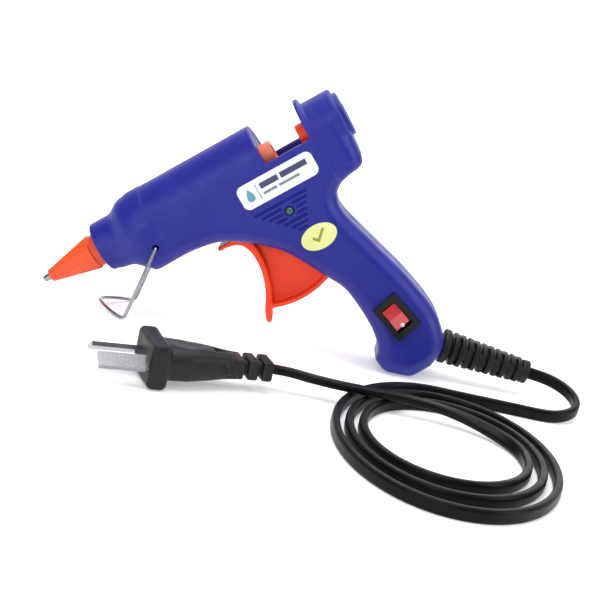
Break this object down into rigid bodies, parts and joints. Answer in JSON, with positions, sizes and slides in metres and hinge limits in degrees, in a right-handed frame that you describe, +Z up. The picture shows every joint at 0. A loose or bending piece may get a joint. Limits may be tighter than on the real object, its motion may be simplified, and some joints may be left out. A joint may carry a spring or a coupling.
{
  "type": "glue gun",
  "caption": "Mini hot-melt glue gun with trigger-fed stick path, rocker switch, folding wire stand and a coiled mains lead with a two-pin plug",
  "frame": {"origin": "centre of the footprint of the gun without its lead, on the surface that the gun stands on", "axes": "+X from the nozzle to the cord boot, +Y away from the side that carries the switch, +Z up; the gun stands on its wire stand and the heel of its handle"},
  "size_m": [0.2193, 0.1637, 0.1036],
  "materials": {
    "shell": "satin",
    "orange_silicone": "matte",
    "orange_plastic": "satin",
    "trigger_plastic": "satin",
    "brass": "satin",
    "aluminium": "satin",
    "steel": "bright",
    "ceramic": "matte",
    "black_plastic": "satin",
    "rocker_red": "glossy",
    "white_nylon": "matte",
    "wire_insulation": "satin",
    "led_green": "clear",
    "board_green": "matte",
    "label_white": "satin",
    "sticker_yellow": "matte",
    "black_pvc": "satin"
  },
  "bodies": {
    "housing": {"near_shell": "shell", "far_shell": "shell", "housing_screws": "steel", "nozzle_tip": "brass", "nozzle_cover": "orange_silicone", "insulator_ring": "ceramic", "melt_chamber": "aluminium", "ptc_heater": "ceramic", "heater_clip": "steel", "inlet_sleeve": "orange_silicone", "sleeve_clamp": "steel", "trigger_pin": "steel", "switch_case": "black_plastic", "switch_terminals": "brass", "wire_connectors": "white_nylon", "inner_wires": "wire_insulation", "led_lamp": "led_green", "led_board": "board_green", "cord_clamp": "white_nylon", "clamp_screws": "steel", "cord_boot": "black_pvc", "label": "label_white", "inspection_sticker": "sticker_yellow", "cord_lead": "black_pvc", "cord_coil": "black_pvc", "cord_tail": "black_pvc", "plug_body": "black_pvc", "plug_pins": "brass"},
    "carriage": {"feed_carriage": "orange_plastic"},
    "trigger_lever": {"trigger": "trigger_plastic", "return_spring": "steel"},
    "stand": {"wire_stand": "steel"},
    "switch_rocker": {"rocker": "rocker_red"}
  },
  "joints": [
    {"name": "trigger_pull", "type": "hinge", "parent": "housing", "child": "trigger_lever", "pos_m": [-0.0193, 0, 0.04772], "axis": [0, -1, 0], "range_deg": [0, 22], "stiffness_Nm_per_rad": 0.12, "springref_deg": -20.05},
    {"name": "carriage_feed", "type": "slide", "parent": "housing", "child": "carriage", "axis": [-0.7524, 0, -0.6587], "range_m": [0, 0.00477]},
    {"name": "stand_fold", "type": "hinge", "parent": "housing", "child": "stand", "pos_m": [-0.05634, 0, 0.03097], "axis": [0, -1, 0], "range_deg": [0, 85]},
    {"name": "switch_rock", "type": "hinge", "parent": "housing", "child": "switch_rocker", "pos_m": [0.04059, -0.0124, 0.02439], "axis": [0.5948, 0, 0.8039], "range_deg": [0, 20]}
  ],
  "couplings": [
    {"joint": "carriage_feed", "follows": "trigger_pull", "m_per_rad": 0.012423}
  ]
}
